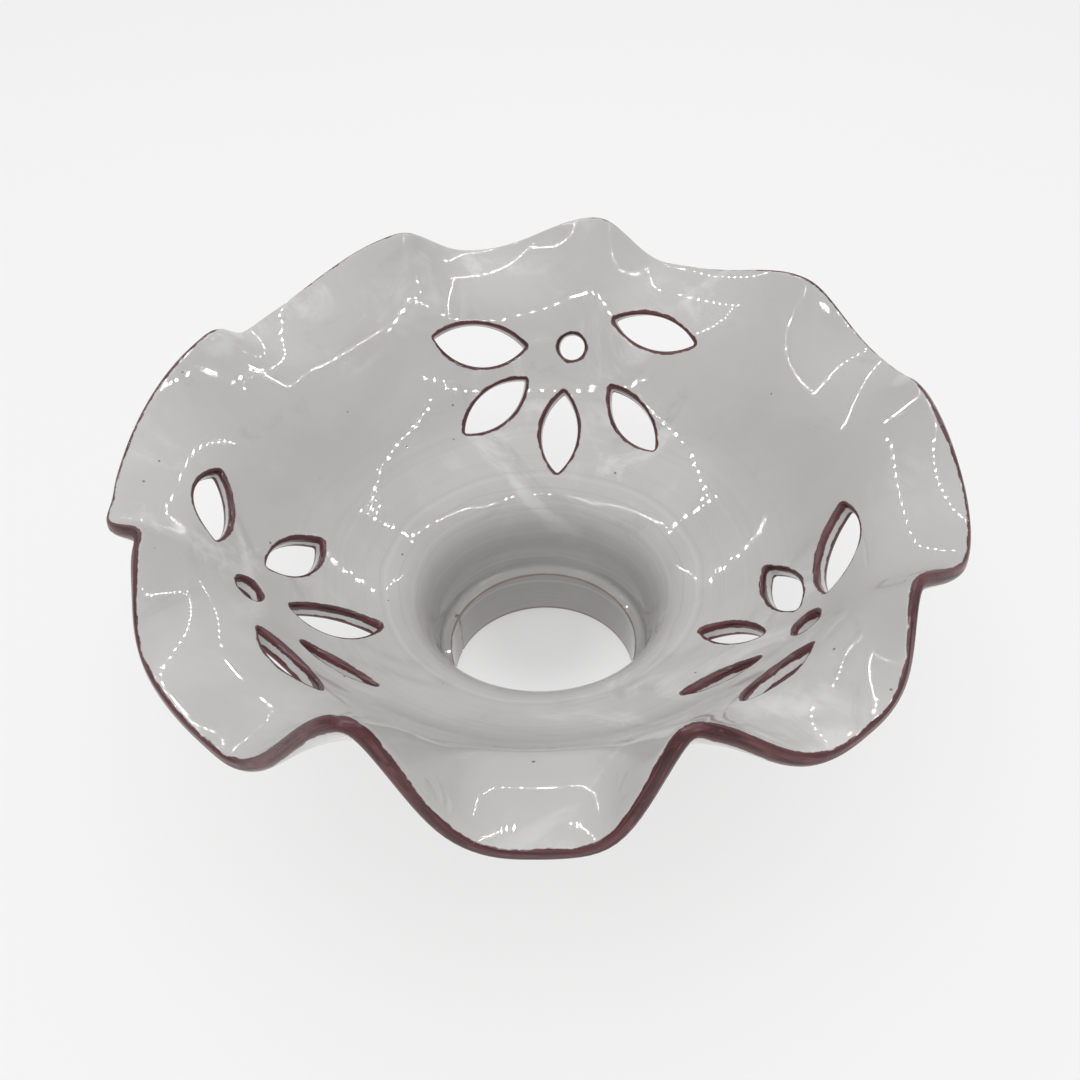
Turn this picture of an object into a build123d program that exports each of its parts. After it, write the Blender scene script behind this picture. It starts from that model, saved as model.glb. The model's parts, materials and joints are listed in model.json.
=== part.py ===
from build123d import *
import os
from math import cos, sin, pi, radians, sqrt

os.makedirs("parts", exist_ok=True)

# Openwork ruffled ceramic shade, standing on its neck. Millimetres, +Z up, the
# neck's axis is Z and its lower end is at z = 0. An azimuth of 0 is +X, 90 is +Y.

# ---- neck ----
BORE_R = 30.0          # hole through the neck
SEAT_R = 33.4          # outside of the strip of clay that forms the inner seat
SEAT_INNER_Z = 17.3    # seat's ledge at the bore
SEAT_OUTER_Z = 18.6    # the ledge rises slightly towards the collar
STRIP_JOINT_W = 1.6    # gap left where the strip's two ends meet
STRIP_JOINT_DEPTH = 1.4
STRIP_JOINT_AZ = 158.0
COLLAR_R = 38.5        # outside of the straight collar
COLLAR_TOP_Z = 30.0    # where the collar is joined to the bowl
COLLAR_TOP_R = 35.0    # inside of the collar at the joint
COLLAR_WAIST = (33.95, 24.4)  # half-way point of the collar's curved inside
FOOT_ROUND = 1.2       # rounded lower edge of the collar

# ---- bowl: inner face of the meridian, as (radius, height) from the joint upwards ----
BODY = [
    (COLLAR_TOP_R, COLLAR_TOP_Z),
    (37.0, 36.5),
    (42.0, 43.5),
    (51.0, 48.5),
    (60.5, 53.5),
    (70.0, 60.0),
    (79.0, 69.0),
    (86.0, 77.5),
]
# Above the body the wall is ruffled. Each entry is how far (outwards, upwards) the wall
# has gone from the body's edge to the rim, as fractions: a lobe flares out nearly level,
# and a pinch between two lobes keeps climbing.
LOBE_RISE = [(0.22, 0.47), (0.47, 0.77), (0.74, 0.93), (0.95, 0.99), (1.0, 1.0)]
PINCH_RISE = [(0.24, 0.27), (0.49, 0.52), (0.75, 0.76), (0.96, 0.96), (1.0, 1.0)]
USUAL_LOBE_RIM = (117.0, 93.0)
RIM = len(BODY) + len(LOBE_RISE) - 1     # station at the rim
BAND = RIM - 1                           # station where the coloured rim band starts

WALL = 5.0             # wall of the body
WALL_AT_RIM = 3.7      # the wall thins through the ruffle
# section of the rounded lip, as (share of the wall's thickness, distance below the rim)
LIP_SECTION = [(0.04, 0.6), (0.2, 0.1), (0.5, 0.0), (0.8, 0.1), (0.96, 0.6)]

# ---- ruffle: one row per fold of the hand-pinched rim ----
# azimuth of the pinch, its rim radius and height, then the rim radius and height of the
# lobe after it, how narrow the pinch is before and after, and how far the lobe leans
FOLDS = [
    (8, 110.5, 103, 117, 93, 1.0, 1.4, 0.0),
    (38.5, 111.5, 107, 117.5, 93, 1.15, 1.3, 0.2),
    (78, 113, 109, 118.5, 95, 1.0, 1.0, 0.07),
    (113, 111, 110, 118, 94, 1.5, 1.0, 0.3),
    (150, 115.5, 103, 115, 97.5, 1.2, 1.0, 0.35),
    (196.5, 106.5, 101, 116, 86.5, 3.0, 4.7, 0.15),
    (249.5, 110.5, 117, 116, 84.5, 1.0, 2.8, 0.1),
    (285.5, 107, 110, 116, 90.5, 1.8, 1.3, 0.0),
    (325.5, 105.5, 103.5, 115.5, 94.5, 2.5, 1.4, -0.15),
]
RING_POINTS = 90       # points on each closed ring of the bowl's faces
SLOPE_STEP = 0.5       # degrees to each side over which the wall's direction is taken

# ---- cut-out flowers: an eye and five leaf-shaped petals each ----
EDGE = 1.5             # width of the coloured edge round each cut-out
CUT_REACH = 14.0       # how far each cut runs to both sides of the inner face
# per flower: azimuth, eye radius from the axis, eye width, then its petals as azimuth
# offset, radius from the axis, length, upper and lower bulge, turn of the length axis
FLOWERS = [
    (81.0, 84.0, 11.7, [
        (21.4, 86.1, 35.6, 7.6, 10.0, 14.0),
        (20.2, 70.8, 32.6, 7.3, 7.6, 148.0),
        (1.1, 62.2, 33.6, 7.0, 8.4, 90.0),
        (-19.3, 69.6, 31.9, 6.5, 7.5, 37.0),
        (-18.1, 90.0, 34.0, 7.4, 7.2, 3.5),
    ]),
    (199.5, 84.1, 10.9, [
        (20.7, 85.6, 31.3, 5.2, 8.5, -1.0),
        (19.2, 71.2, 31.0, 4.8, 3.8, 146.0),
        (0.7, 63.8, 32.6, 5.7, 9.2, 94.0),
        (-17.5, 73.1, 31.0, 6.0, 8.5, 38.0),
        (-17.0, 91.5, 31.0, 6.7, 9.0, 174.0),
    ]),
    (327.0, 82.2, 10.9, [
        (18.7, 84.6, 36.7, 8.9, 8.9, 7.0),
        (14.9, 71.9, 32.0, 6.6, 6.7, 148.0),
        (1.8, 62.1, 27.7, 4.9, 6.1, 98.0),
        (-15.4, 70.8, 28.0, 3.4, 6.4, 37.0),
        (-16.8, 89.1, 29.0, 10.4, 4.0, 179.0),
    ]),
]


def fold_at(azimuth):
    """Pinch share (0 on a lobe, 1 on a pinch) and the rim points of lobe and pinch."""
    for number, fold in enumerate(FOLDS):
        after = FOLDS[(number + 1) % len(FOLDS)]
        along = ((azimuth - fold[0]) % 360) / ((after[0] - fold[0]) % 360)
        if along < 1:
            break
    middle = 0.5 + fold[7]
    if along < middle:
        wave = 0.5 + 0.5 * cos(pi * along / middle)
        return wave ** fold[6], (fold[3], fold[4]), (fold[1], fold[2])
    wave = 0.5 - 0.5 * cos(pi * (along - middle) / (1 - middle))
    return wave ** after[5], (fold[3], fold[4]), (after[1], after[2])


def rise_to(rim_point, fractions):
    """A point of the ruffle's meridian, between the body's edge and a rim point."""
    edge_r, edge_z = BODY[-1]
    radius = edge_r + fractions[0] * (rim_point[0] - edge_r)
    height = edge_z + fractions[1] * (rim_point[1] - edge_z)
    return radius, height


def inner_point(station, azimuth):
    """A point of the inner face."""
    if station < len(BODY):
        radius, height = BODY[station]
    else:
        step = station - len(BODY)
        share, lobe_rim, pinch_rim = fold_at(azimuth)
        lobe_r, lobe_z = rise_to(lobe_rim, LOBE_RISE[step])
        pinch_r, pinch_z = rise_to(pinch_rim, PINCH_RISE[step])
        radius = lobe_r + share * (pinch_r - lobe_r)
        height = lobe_z + share * (pinch_z - lobe_z)
    angle = radians(azimuth)
    return Vector(radius * cos(angle), radius * sin(angle), height)


def outward(station, azimuth):
    """Unit normal of the inner face, pointing into the wall."""
    upward = inner_point(min(station + 1, RIM), azimuth) - inner_point(max(station - 1, 0), azimuth)
    ahead = inner_point(station, azimuth + SLOPE_STEP)
    behind = inner_point(station, azimuth - SLOPE_STEP)
    return (ahead - behind).cross(upward).normalized()


def wall_at(station):
    """Wall thickness at a station."""
    if station < len(BODY):
        return WALL
    share = (station - len(BODY) + 1) / len(LOBE_RISE)
    return WALL + share * (WALL_AT_RIM - WALL)


def outer_point(station, azimuth):
    """A point of the outer face."""
    if station == 0:
        angle = radians(azimuth)
        return Vector(COLLAR_R * cos(angle), COLLAR_R * sin(angle), COLLAR_TOP_Z)
    return inner_point(station, azimuth) + outward(station, azimuth) * wall_at(station)


def lip_point(azimuth, depth_share, below):
    """A point of the lip, at a share of the wall's thickness and a distance below the rim."""
    rim = inner_point(RIM, azimuth)
    down = (inner_point(BAND, azimuth) - rim).normalized()
    return rim + down * below + outward(RIM, azimuth) * wall_at(RIM) * depth_share


def ring(point_at):
    """Closed smooth ring through the points that point_at gives for each azimuth."""
    azimuths = [360 * step / RING_POINTS for step in range(RING_POINTS)]
    return Edge.make_spline([point_at(azimuth) for azimuth in azimuths], periodic=True)


def skin(rings, straight=False):
    """Faces through closed rings: one smooth face, or a straight strip between each pair."""
    return Shell.make_loft([Wire([edge]) for edge in rings], straight).faces()


def bowl_shell():
    """Ruffled wall from the collar joint to the rim band, before the flowers are cut."""
    stations = range(BAND + 1)
    inner = [ring(lambda azimuth: inner_point(station, azimuth)) for station in stations]
    outer = [ring(lambda azimuth: outer_point(station, azimuth)) for station in stations]
    foot = Face.make_surface_from_curves(inner[0], outer[0])
    top = Face.make_surface_from_curves(inner[-1], outer[-1])
    return Solid(Shell([*skin(inner), *skin(outer), foot, top]))


def rim_band():
    """Coloured band round the rim: the wall's last strip, with its rounded lip."""
    start_in = ring(lambda azimuth: inner_point(BAND, azimuth))
    start_out = ring(lambda azimuth: outer_point(BAND, azimuth))
    lip = [
        ring(lambda azimuth: lip_point(azimuth, depth_share, below))
        for depth_share, below in LIP_SECTION
    ]
    foot = Face.make_surface_from_curves(start_in, start_out)
    return Solid(Shell([*skin([start_in, *lip, start_out], straight=True), foot]))


def inner_place(radius, azimuth, turn=0.0):
    """Plane on the inner face at a radius, normal inwards, its x axis turned from level."""
    angle = radians(azimuth)
    profile = BODY + [rise_to(USUAL_LOBE_RIM, fractions) for fractions in LOBE_RISE]
    for low, high in zip(profile, profile[1:]):
        if low[0] <= radius < high[0]:
            break
    run = high[0] - low[0]
    rise = high[1] - low[1]
    height = low[1] + rise * (radius - low[0]) / run
    level = Vector(-sin(angle), cos(angle), 0)
    up_slope = Vector(run * cos(angle), run * sin(angle), rise).normalized()
    along = level * cos(radians(turn)) + up_slope * sin(radians(turn))
    spot = Vector(radius * cos(angle), radius * sin(angle), height)
    return Plane(origin=spot, x_dir=along, z_dir=level.cross(up_slope))


def leaf(length, upper, lower, inset):
    """Pointed leaf of two arcs that bulge by upper and lower, all round smaller by inset."""
    upper_r = (length**2 / 4 + upper**2) / (2 * upper)
    lower_r = (length**2 / 4 + lower**2) / (2 * lower)
    upper_y = upper - upper_r
    lower_y = lower_r - lower
    upper_r -= inset
    lower_r -= inset
    tip_y = (lower_r**2 - upper_r**2 + upper_y**2 - lower_y**2) / (2 * (upper_y - lower_y))
    tip_x = sqrt(upper_r**2 - (tip_y - upper_y) ** 2)
    top = ThreePointArc((-tip_x, tip_y), (0, upper - inset), (tip_x, tip_y))
    bottom = ThreePointArc((tip_x, tip_y), (0, inset - lower), (-tip_x, tip_y))
    return make_face([top, bottom])


def cutter(place, outline):
    """Prism through the wall, square to the inner face at the outline's middle."""
    return extrude(place * outline, amount=CUT_REACH, both=True)


def flower_cuts():
    """Name, full cutter and hole cutter of every cut-out."""
    cuts = []
    for number, (azimuth, eye_r, eye_width, petals) in enumerate(FLOWERS, start=1):
        place = inner_place(eye_r, azimuth)
        full = cutter(place, Circle(eye_width / 2))
        hole = cutter(place, Circle(eye_width / 2 - EDGE))
        cuts.append((f"flower_{number}_eye_edge", full, hole))
        for petal, (offset, radius, length, upper, lower, turn) in enumerate(petals, start=1):
            place = inner_place(radius, azimuth + offset, turn)
            full = cutter(place, leaf(length, upper, lower, 0))
            hole = cutter(place, leaf(length, upper, lower, EDGE))
            cuts.append((f"flower_{number}_petal_{petal}_edge", full, hole))
    return cuts


def neck_collar():
    """Straight collar with a rounded foot; its inside opens in a shallow curve."""
    seat_top = (SEAT_R, SEAT_OUTER_Z)
    joint = (COLLAR_TOP_R, COLLAR_TOP_Z)
    with BuildPart() as collar:
        with BuildSketch(Plane.XZ):
            with BuildLine():
                Polyline(seat_top, (SEAT_R, 0), (COLLAR_R, 0), (COLLAR_R, COLLAR_TOP_Z), joint)
                ThreePointArc(seat_top, COLLAR_WAIST, joint)
            make_face()
        revolve(axis=Axis.Z)
        foot_edge = collar.edges().group_by(Axis.Z)[0].sort_by(SortBy.RADIUS)[-1]
        fillet(foot_edge, FOOT_ROUND)
    return collar.part


def seat_ring():
    """Strip of clay lining the lower neck; its top is the ledge a fitting rests on."""
    with BuildPart() as seat:
        with BuildSketch(Plane.XZ):
            with BuildLine():
                Polyline(
                    (BORE_R, 0),
                    (SEAT_R, 0),
                    (SEAT_R, SEAT_OUTER_Z),
                    (BORE_R, SEAT_INNER_Z),
                    close=True,
                )
            make_face()
        revolve(axis=Axis.Z)
        with Locations(Rot(0, 0, STRIP_JOINT_AZ) * Pos(BORE_R, 0, SEAT_OUTER_Z)):
            Box(2 * STRIP_JOINT_DEPTH, STRIP_JOINT_W, 2 * SEAT_OUTER_Z, mode=Mode.SUBTRACT)
    return seat.part


nodes = {"neck_collar": neck_collar(), "seat_ring": seat_ring(), "rim_band": rim_band()}
shell = bowl_shell()
cuts = flower_cuts()
nodes["bowl"] = shell - [full for _, full, _ in cuts]
for name, full, hole in cuts:
    nodes[name] = (shell & full) - hole
for name, solid in nodes.items():
    export_step(solid, f"parts/{name}.step")
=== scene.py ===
import json
import math
import bpy
import numpy as np
from mathutils import Matrix, Vector, geometry


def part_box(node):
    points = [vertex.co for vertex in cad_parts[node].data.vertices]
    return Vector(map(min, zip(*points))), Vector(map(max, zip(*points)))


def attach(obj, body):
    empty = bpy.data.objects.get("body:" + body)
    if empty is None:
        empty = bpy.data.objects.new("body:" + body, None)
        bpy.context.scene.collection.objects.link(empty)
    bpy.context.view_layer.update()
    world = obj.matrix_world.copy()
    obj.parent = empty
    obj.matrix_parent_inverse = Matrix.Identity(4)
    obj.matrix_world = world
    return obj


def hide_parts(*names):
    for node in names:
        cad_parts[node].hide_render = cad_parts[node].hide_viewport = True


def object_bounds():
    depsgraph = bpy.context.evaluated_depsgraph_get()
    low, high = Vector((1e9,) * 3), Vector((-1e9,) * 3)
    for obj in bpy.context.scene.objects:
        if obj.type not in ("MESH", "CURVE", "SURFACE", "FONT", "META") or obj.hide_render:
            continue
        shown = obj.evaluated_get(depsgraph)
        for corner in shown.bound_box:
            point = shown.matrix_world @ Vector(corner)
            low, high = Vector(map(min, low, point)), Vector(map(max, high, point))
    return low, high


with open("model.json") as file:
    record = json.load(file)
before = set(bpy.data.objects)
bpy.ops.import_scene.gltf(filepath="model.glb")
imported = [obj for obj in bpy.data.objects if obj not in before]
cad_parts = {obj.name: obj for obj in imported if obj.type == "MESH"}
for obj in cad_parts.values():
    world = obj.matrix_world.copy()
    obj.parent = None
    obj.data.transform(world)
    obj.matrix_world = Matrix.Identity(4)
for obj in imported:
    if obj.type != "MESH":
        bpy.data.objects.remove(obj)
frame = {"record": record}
cad_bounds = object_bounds()

# ---------------------------------------------------------------- sizes, in millimetres
MM = 0.001
neck_low, neck_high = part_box("neck_collar")
AXIS_X = (neck_low.x + neck_high.x) / 2
AXIS_Y = (neck_low.y + neck_high.y) / 2
BASE_Z = neck_low.z
MOUNTS = {mount["name"]: mount for mount in frame["record"]["mounts"]}
BORE_R = MOUNTS["neck_bore"]["dims"]["r_mm"]
SEAT_INNER_Z = MOUNTS["neck_bore"]["dims"]["length_mm"]
COLLAR_R = MOUNTS["neck_outside"]["dims"]["r_mm"]
COLLAR_TOP_Z = (neck_high.z - neck_low.z) / MM
seat_low, seat_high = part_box("seat_ring")
SEAT_R = (seat_high.x - seat_low.x) / MM / 2
SEAT_OUTER_Z = (seat_high.z - seat_low.z) / MM
FOOT_ROUND = 1.2

# radius and height of the bowl's inner face, from the collar's joint to where the folds begin
BODY = [(35.0, COLLAR_TOP_Z), (37.0, 36.5), (42.0, 43.5), (51.0, 48.5), (60.5, 53.5), (70.0, 60.0),
        (79.0, 69.0), (86.0, 77.5)]
# radius and height of the throat, from the seat to that joint
COLLAR_INSIDE = [(SEAT_R, SEAT_OUTER_Z), (33.5, 21.5), (33.95, 24.4), (34.4, 27.2)]
# share of the way out and up to the rim at each further station, in a lobe and in a pinch
LOBE_RISE = [(0.22, 0.47), (0.47, 0.77), (0.74, 0.93), (0.95, 0.99), (1.0, 1.0)]
PINCH_RISE = [(0.24, 0.27), (0.49, 0.52), (0.75, 0.76), (0.96, 0.96), (1.0, 1.0)]
STATIONS = len(BODY) + len(LOBE_RISE)
WALL, WALL_AT_RIM = 5.0, 3.7
# share of the way through the wall, and how far the lip lies below its crest there
LIP_SECTION = [(0.04, 0.6), (0.2, 0.1), (0.5, 0.0), (0.8, 0.1), (0.96, 0.6)]
# azimuth of the pinch, its rim radius and height, rim radius and height of the lobe after
# it, how narrow the pinch is before and after, and how far the lobe leans
FOLDS = np.array([
    (8, 110.5, 103, 117, 93, 1.0, 1.4, 0.0),
    (38.5, 111.5, 107, 117.5, 93, 1.15, 1.3, 0.2),
    (78, 113, 109, 118.5, 95, 1.0, 1.0, 0.07),
    (113, 111, 110, 118, 94, 1.5, 1.0, 0.3),
    (150, 115.5, 103, 115, 97.5, 1.2, 1.0, 0.35),
    (196.5, 106.5, 101, 116, 86.5, 3.0, 4.7, 0.15),
    (249.5, 110.5, 116.7, 116, 84.5, 1.0, 2.8, 0.1),
    (285.5, 107, 110, 116, 90.5, 1.8, 1.3, 0.0),
    (325.5, 105.5, 103.5, 115.5, 94.5, 2.5, 1.4, -0.15),
])
# azimuth, eye radius from the axis, eye width, then petals as azimuth offset, radius from
# the axis, length, upper and lower bulge, turn of the length axis
FLOWERS = [
    (81.0, 84.0, 11.7, [
        (21.4, 86.1, 35.6, 7.6, 10.0, 14.0),
        (20.2, 70.8, 32.6, 7.3, 7.6, 148.0),
        (1.1, 62.2, 33.6, 7.0, 8.4, 90.0),
        (-19.3, 69.6, 31.9, 6.5, 7.5, 37.0),
        (-18.1, 90.0, 34.0, 7.4, 7.2, 3.5),
    ]),
    (199.5, 84.1, 10.9, [
        (20.7, 85.6, 31.3, 5.2, 8.5, -1.0),
        (19.2, 71.2, 31.0, 4.8, 3.8, 146.0),
        (0.7, 63.8, 32.6, 5.7, 9.2, 94.0),
        (-17.5, 73.1, 31.0, 6.0, 8.5, 38.0),
        (-17.0, 91.5, 31.0, 6.7, 9.0, 174.0),
    ]),
    (327.0, 82.2, 10.9, [
        (18.7, 84.6, 36.7, 8.9, 8.9, 7.0),
        (14.9, 71.9, 32.0, 6.6, 6.7, 148.0),
        (1.8, 62.1, 27.7, 4.9, 6.1, 98.0),
        (-15.4, 70.8, 28.0, 3.4, 6.4, 37.0),
        (-16.8, 89.1, 29.0, 10.4, 4.0, 179.0),
    ]),
]
USUAL_LOBE_RIM = (117.0, 93.0)
USUAL_PINCH_RIM = (109.0, 107.0)
AROUND_STEP = 0.5       # degrees, for the wall's direction

# cut-outs, their rounding under the glaze and the coloured line along them
EDGE = 1.5          # coloured edge round each cut-out
CORNER = 1.1        # rounding of every cut edge
TIP_ROUND = 0.7     # rounding of the petals' points
EYE_ROUND = 1.0     # part of the eye's radius kept apart from its arcs
BRUSH_HALF = 0.95   # half the width of the brushed line
BRUSH_ON_FACE = 0.2     # how far out on the inner face the line runs
BRUSH_ON_BACK = 0.5     # how far it stops before the outer face
RIM_BRUSH_ON_FACE = 0.2
BAND_WIDTH = 1.5        # climb left to the rim's highest point where the band begins
WORN_AZ, WORN_SPREAD, WORN_MOST = 98.0, 32.0, 0.62     # where the rim's line is worn thin
FAR = 9.0           # brush distance given to everything far from a coloured line

# seat strip and collar
SEAT_LEDGE = 1.9        # level part of the seat next to the bore
SEAT_LEDGE_RISE = 0.73
SEAT_ROUND = 0.5
BARE_BELOW = 0.45       # the bare line is wider on the lower edge of the bore
GLAZE_POOL = 1.0        # glaze gathered in the corner between seat and collar
POOL_START = 0.1        # the pool's corner lies this far from the collar
POOL_END = 0.03         # and its upper end this far inside it
BORE_ROWS = (5.0, 11.0, 13.0)
COLLAR_ROWS = (10.0, 20.0, 27.0)
STRIP_JOINT_W, STRIP_JOINT_DEPTH, STRIP_JOINT_AZ = 1.6, 1.4, 158.0
JOINT_SLOPE = 0.25
JOINT_FILLED_Z, JOINT_FILLED = 13.5, 0.15    # glaze fills the lower part of the joint

# how finely the surface is cut up
RING_POINTS = 90
COLUMNS = 480
ROW_STEP = 1.5
FACE_RINGS = (0.0, 0.12, 0.36, 0.7, CORNER, EDGE, 2.1)
RING_CLEAR = 0.4        # gap kept between the outer rings of two cut-outs
GRID_CLEAR = 0.5        # gap kept between a cut-out's rings and the grid
PATCH_MARGIN = 2
ARC_POINTS, TIP_POINTS = 30, 8
WALL_ROWS = 7
LIP_ROWS = 11
CORNER_ROWS = 5
SEAT_STEP = 1.5         # degrees
JOINT_STEPS = 4
JOINT_CLEAR, JOINT_BORDER = 0.8, 0.5    # degrees from the joint's edge to the usual steps
NORMAL_STEP = 0.05
SLOPE_STEP = 0.01
MEET_ROUNDS, MEET_MOST, MEET_RIM = 14, 8.0, 0.1     # search for where a cut meets a face
FLAT_NEAR, TINY = 1e-6, 1e-9
OUTSIDE_CLIMB = 60.0    # keeps the painted shade of the throat off the outside

# studio
PAPER_SIZE = 24.0
PAPER_Z = BASE_Z - 0.0002
PAPER_DRIFT, PAPER_GRAIN, GRAIN_SHARE = (1.8, 3.0), (420.0, 2.0), 0.08
PAPER_ROUGH, PAPER_GLEAM = 0.9, 0.1
PAPER_GLOW = 0.6
PAPER_SHADE = 0.64      # share of the glow left inside the neck, a painted shadow under the bowl
PAPER_SHADE_NEAR, PAPER_SHADE_FAR = 0.01, 0.043
SHADE_BACK = 0.02
AIR_GLOW = 0.58
CAMERA_PITCH, CAMERA_ROLL = 43.9, -1.9
CAMERA_BACK, CAMERA_UP = 0.233, 0.287
CAMERA_LENS, CAMERA_FILM = 36.1, 36.0
# name, place and aim in metres from the neck, width, height, watts, seen in the glaze
SOFT_LIGHTS = [
    ("front_softbox", (-0.05, -0.5, 1.25), (0, 0, 0.1), 1.3, 1.0, 3.4, False),
    ("overhead_fill", (0.0, 0.1, 1.3), (0, 0, 0.1), 1.4, 1.4, 2.4, False),
    ("overhead_softbox", (-0.1, 0.15, 1.4), (0, 0, 0.1), 1.6, 1.6, 1.8, True),
]
LAMP_GLOW = 260.0
LAMP_SHARE = 0.2        # lit share of each lamp's place in its bar
# start, end and spacing of each row of lamps, in metres from the neck
LAMP_BARS = [
    ((-0.42, 0.33, 0.6), (0.42, 0.33, 0.6), 0.042),
    ((-0.8, 0.76, 0.6), (0.8, 0.76, 0.6), 0.06),
    ((-0.42, -0.31, 0.6), (0.42, -0.31, 0.6), 0.042),
    ((-0.38, -0.24, 0.6), (-0.38, 0.3, 0.6), 0.036),
    ((0.38, -0.24, 0.6), (0.38, 0.3, 0.6), 0.036),
]

# scale, detail, roughness and warp of each pattern in the glaze, then the noise at which it
# begins and the noise at which it is full
CLOUDS = (14.0, 4.0, 0.6, 0.6, 0.3, 0.7)
# the pale wisps are painted soft reflections in the glaze
SHEEN_WISPS = (30.0, 5.0, 0.62, 1.5, 0.5, 0.7)
SHEEN_WISP_AREAS = (13.0, 2.0, 0.55, 0.0, 0.4, 0.58)
THIN_GLAZE = (26.0, 5.0, 0.7, 1.4, 0.56, 0.72)
STREAKS = (1.0, 4.0, 0.7, 0.3, 0.38, 0.64)
PALE_STREAKS = (2.3, 4.0, 0.7, 0.3, 0.58, 0.76)
# colours, as red, green and blue from 0 to 255
GLAZE_TONE, PALE_GLAZE_TONE = (196, 195, 193), (206, 205, 203)
# the throat's tone is painted shade
# the wisps' tone is a painted soft reflection
SHEEN_WISP_TONE, THIN_TONE, THROAT_SHADE_TONE = (230, 230, 229), (176, 174, 171), (160, 158, 155)
DARK_RING_TONE, PALE_RING_TONE = (182, 181, 178), (222, 221, 219)
IRON_TONE, CLAY_TONE = (98, 88, 80), (126, 100, 88)
MAROON_TONE, THIN_MAROON_TONE, PALE_MAROON_TONE = (62, 27, 32), (108, 58, 61), (152, 114, 112)
PAPER_TONE, PALE_PAPER_TONE, GRAIN_TONE = (158, 158, 158), (162, 162, 162), (150, 150, 150)
# how much of each shows, at most
SHEEN_WISP_SHARE, THIN_SHARE, PALE_SHARE = 0.75, 0.4, 0.3
SPECK_SHARE, BARE_SHARE = 0.8, 0.75
# steps: value where each starts and ends, and its share at the start and at the end
# painted shade: the glaze darkens down the throat, by climb from the collar joint
PAINTED_THROAT_SHADE = (-6.0, 16.0, 0.7, 0.0)
RING_AREA = (18.0, 75.0, 1.0, 0.25)
DARK_RINGS = (0.02, 0.14, 0.0, 0.35)
PALE_RINGS = (-0.14, -0.02, 0.3, 0.0)
SPECK_PICK = (0.55, 0.56)
SPECK_SIZE = (0.03, 0.062, 1.0, 0.0)
BARE_LINE = (0.56, 0.88, 1.0, 0.0)
SHINE = (0.3, 0.7, 0.015, 0.045)
# rings turned on the wheel: their noise, and how far they wander
RING_TONES = (0.42, 4.0, 0.62)
RING_WAVE_SCALE, RING_WAVE = 22.0, 5.0
SPECK_SCALE, SHINE_SCALE = 115.0, 55.0
BARE_WAVE_SCALE, BARE_WAVE = 160.0, 0.6
# height in millimetres, scale and detail of the waves in the brushed line's edge
EDGE_WAVE = (1.5, 240.0, 3.0, 0.6)
SLOW_WAVE = (0.9, 60.0, 1.0)
# how far that edge fades inwards and outwards, then the length and width of the brush's streaks
BRUSH_SOFT_IN, BRUSH_SOFT_OUT = 0.12, 0.2
STROKE_ALONG, STROKE_ACROSS = 90.0, 4.2
# depth in metres, scale and detail of the glaze's relief
SLOW_RELIEF = (0.00085, 26.0, 1.0)
FINE_RELIEF = (0.000008, 150.0, 1.0)
RING_RELIEF = (0.00016, 0.3, 1.0)
PIT_DEPTH, STREAK_DEPTH = 0.00025, 0.00006
BUMP_STRENGTH = 0.5
LINE_ROUGHER, CLAY_ROUGHER = 0.12, 0.4
GLAZE_IOR = 1.52

INNER, OUTER = 0, 1


# ---------------------------------------------------------------- the bowl's two faces
def fold_at(azimuth):
    """Pinch share at each azimuth, with the rim points of the lobe and pinch it lies between."""
    start = FOLDS[:, 0]
    span = (np.roll(start, -1) - start) % 360
    gone = (azimuth[..., None] - start) % 360
    here = np.argmax(gone < span, axis=-1)
    along = np.take_along_axis(gone, here[..., None], -1)[..., 0] / span[here]
    middle = 0.5 + FOLDS[here, 7]
    first = along < middle
    after = (here + 1) % len(FOLDS)
    phase = np.where(first, along / middle, 1 + (along - middle) / (1 - middle))
    power = np.where(first, FOLDS[here, 6], FOLDS[after, 5])
    share = np.clip(0.5 + 0.5 * np.cos(math.pi * phase), 0, 1) ** power
    pinch = np.where(first, here, after)
    return share, FOLDS[here, 3:5], FOLDS[pinch, 1:3]


def meridian(azimuth):
    """Radius and height of the inner face at every station, for each azimuth."""
    share, lobe_rim, pinch_rim = fold_at(azimuth)
    points = np.zeros(azimuth.shape + (STATIONS, 2))
    points[..., : len(BODY), :] = BODY
    edge = np.array(BODY[-1])
    for step, (lobe_part, pinch_part) in enumerate(zip(LOBE_RISE, PINCH_RISE)):
        lobe = edge + np.array(lobe_part) * (lobe_rim - edge)
        pinch = edge + np.array(pinch_part) * (pinch_rim - edge)
        points[..., len(BODY) + step, :] = lobe + share[..., None] * (pinch - lobe)
    return points


def spun(points, azimuth):
    """Radius and height turned into x, y, z at each azimuth."""
    angle = np.radians(azimuth)[..., None]
    radius, height = points[..., 0], points[..., 1]
    return np.stack([radius * np.cos(angle), radius * np.sin(angle), height], -1)


def unit(vectors):
    return vectors / np.linalg.norm(vectors, axis=-1, keepdims=True)


def station_points(side, azimuth):
    """Points of one face at every station."""
    inner = spun(meridian(azimuth), azimuth)
    if side == INNER:
        return inner
    wall = np.full(STATIONS, WALL)
    wall[len(BODY):] += np.arange(1, len(LOBE_RISE) + 1) / len(LOBE_RISE) * (WALL_AT_RIM - WALL)
    above = np.minimum(np.arange(STATIONS) + 1, STATIONS - 1)
    below = np.maximum(np.arange(STATIONS) - 1, 0)
    climb = inner[..., above, :] - inner[..., below, :]
    ahead, behind = azimuth + AROUND_STEP, azimuth - AROUND_STEP
    around = spun(meridian(ahead), ahead) - spun(meridian(behind), behind)
    outer = inner + unit(np.cross(around, climb)) * wall[:, None]
    angle = np.radians(azimuth)
    foot_z = np.full(angle.shape, COLLAR_TOP_Z)
    outer[..., 0, :] = np.stack([COLLAR_R * np.cos(angle), COLLAR_R * np.sin(angle), foot_z], -1)
    return outer


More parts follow.
